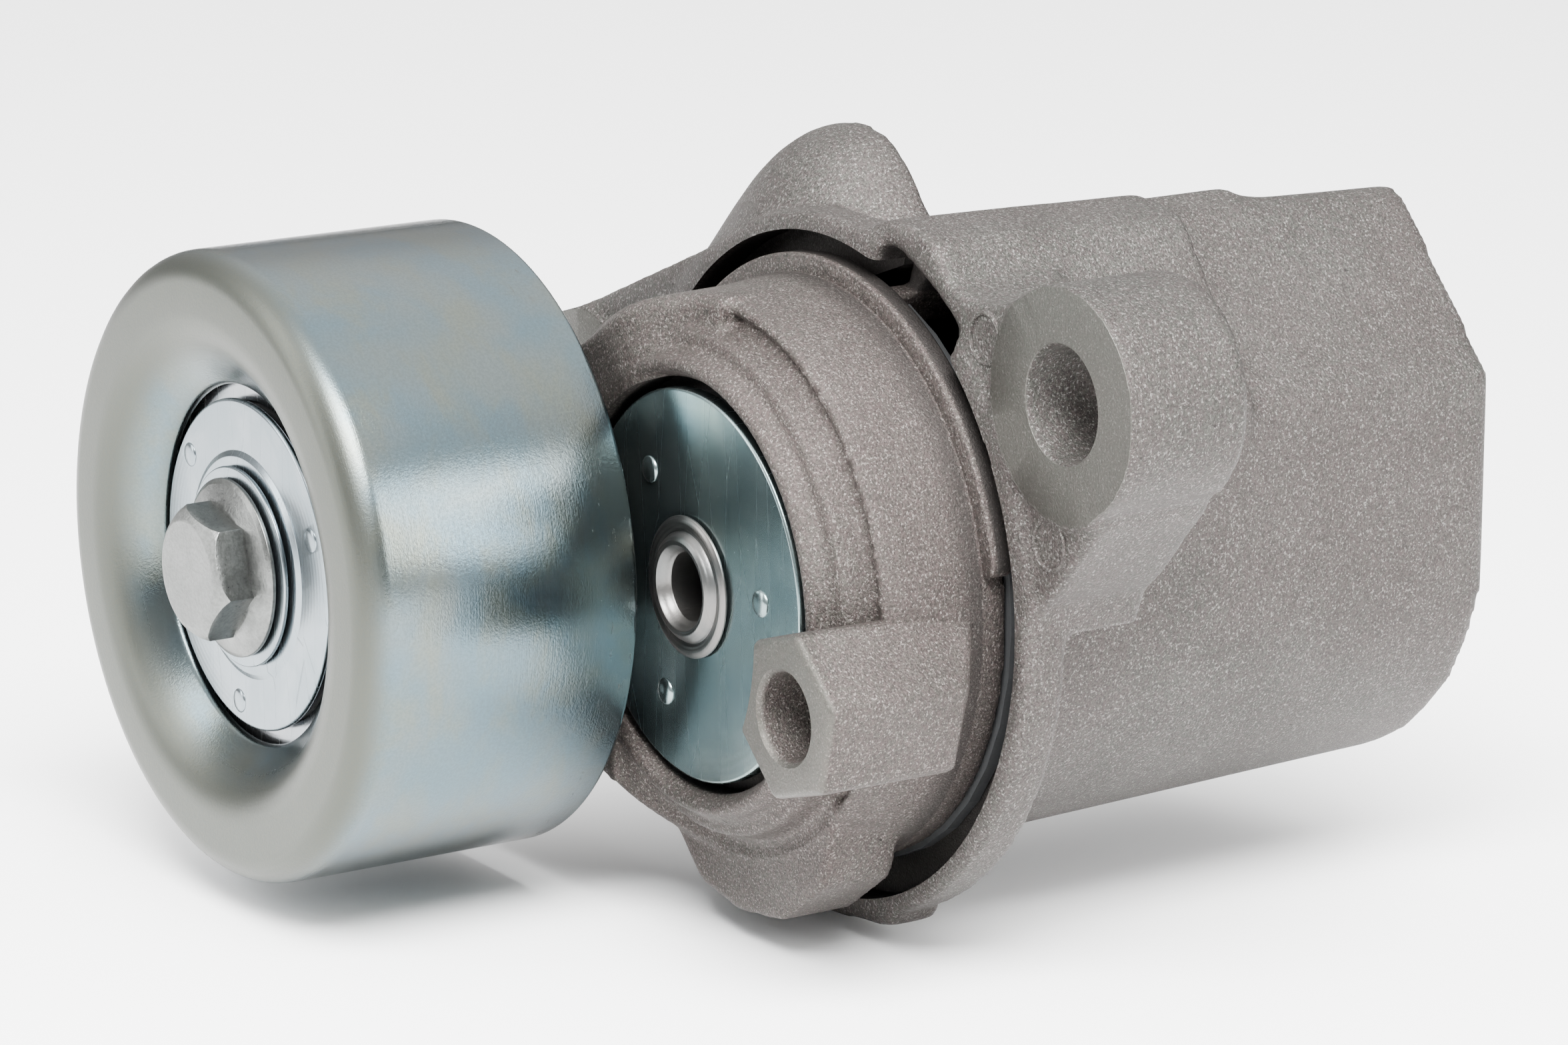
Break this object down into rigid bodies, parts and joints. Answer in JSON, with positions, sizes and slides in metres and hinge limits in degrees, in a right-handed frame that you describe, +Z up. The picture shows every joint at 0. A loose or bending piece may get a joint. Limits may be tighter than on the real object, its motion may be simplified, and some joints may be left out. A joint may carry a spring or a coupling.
{
  "type": "belt tensioner with idler pulley",
  "caption": "Sprung belt tensioner: a cast housing with bolt ears, a swinging cast arm with a wrench hexagon, and a flat steel idler pulley on a ball bearing.",
  "frame": {"origin": "centre of the housing's closed rear face, on the arm's pivot axis", "axes": "+Y runs back along the pivot, away from the pulley; +Z is up; +X is right as seen from the pulley's side"},
  "size_m": [0.1205, 0.1161, 0.0791],
  "materials": {
    "cast_housing": "rough cast",
    "cast_arm": "blasted cast",
    "zinc_steel": "zinc plated",
    "bright_steel": "bright plated",
    "plated_disc": "polished plated",
    "galvanised_steel": "galvanised",
    "turned_steel": "turned",
    "bearing_steel": "ground",
    "spring_steel": "oiled",
    "dark_polymer": "matt",
    "seal_rubber": "matt",
    "tan_polymer": "matt"
  },
  "bodies": {
    "housing": {"housing": "cast_housing", "pivot_shaft": "turned_steel", "retaining_disc": "plated_disc", "front_thrust_washer": "dark_polymer", "rear_thrust_washer": "dark_polymer", "friction_ring": "dark_polymer", "spring_sleeve": "dark_polymer", "spring_seat": "spring_steel", "torsion_spring": "spring_steel"},
    "arm": {"tensioner_arm": "cast_arm", "pivot_bush_front": "tan_polymer", "pivot_bush_rear": "tan_polymer", "arm_spring_seat": "spring_steel", "pulley_bolt": "galvanised_steel", "bolt_washer": "bright_steel", "front_shield": "bright_steel", "bearing_sleeve": "turned_steel", "bearing_inner_ring": "bearing_steel", "rear_shield": "zinc_steel"},
    "pulley": {"pulley_shell": "zinc_steel", "bearing_outer_ring": "bearing_steel", "bearing_seal_front": "seal_rubber", "bearing_seal_rear": "seal_rubber"},
    "ball_set": {"ball_cage": "tan_polymer", "bearing_ball_1": "bearing_steel", "bearing_ball_2": "bearing_steel", "bearing_ball_3": "bearing_steel", "bearing_ball_4": "bearing_steel", "bearing_ball_5": "bearing_steel", "bearing_ball_6": "bearing_steel", "bearing_ball_7": "bearing_steel", "bearing_ball_8": "bearing_steel"}
  },
  "joints": [
    {"name": "arm_swing", "type": "hinge", "parent": "housing", "child": "arm", "pos_m": [0, -0.07, 0], "axis": [0, 1, 0], "range_deg": [0, 19], "stiffness_Nm_per_rad": 6, "springref_deg": -14.32},
    {"name": "pulley_spin", "type": "hinge", "parent": "arm", "child": "pulley", "pos_m": [-0.0357, -0.098, -0.0013], "axis": [0, 1, 0], "continuous": true},
    {"name": "cage_spin", "type": "hinge", "parent": "arm", "child": "ball_set", "pos_m": [-0.0357, -0.1016, -0.0013], "axis": [0, 1, 0], "continuous": true}
  ],
  "couplings": [
    {"joint": "cage_spin", "follows": "pulley_spin", "ratio": 0.618}
  ]
}
